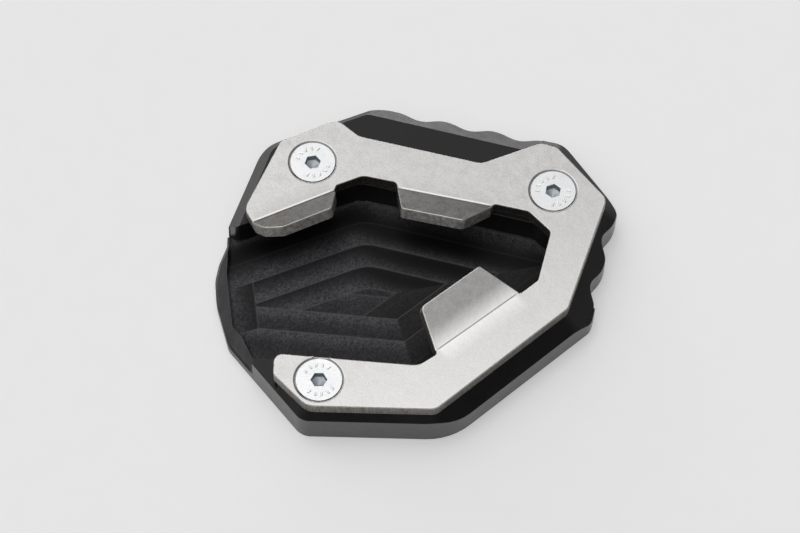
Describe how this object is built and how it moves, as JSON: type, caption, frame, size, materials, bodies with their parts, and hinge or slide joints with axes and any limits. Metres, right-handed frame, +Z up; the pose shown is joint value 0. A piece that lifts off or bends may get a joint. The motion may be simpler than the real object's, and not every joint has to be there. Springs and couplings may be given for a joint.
{
  "type": "kickstand foot enlarger",
  "caption": "Milled base with a pocket for a side stand's foot, a bent sheet plate that hooks over the foot, and countersunk screws that clamp them together.",
  "frame": {"origin": "under the middle of the whole part's plan outline, in the plane of the ground face", "axes": "+Z up, from the ground face to the clamp plate; +X along the part's longest side, from the open low lip to the wavy right edge; +Y towards the wavy rear edge"},
  "size_m": [0.0852, 0.075, 0.0146],
  "materials": {
    "base": "black anodised, milled",
    "sheet": "tumbled stainless steel, cut edges",
    "screw": "bright zinc plated steel"
  },
  "bodies": {
    "root": {"base_plate": "base", "clamp_plate": "sheet", "screw_rear_left": "screw", "screw_rear_right": "screw", "screw_front_left": "screw"}
  },
  "joints": []
}
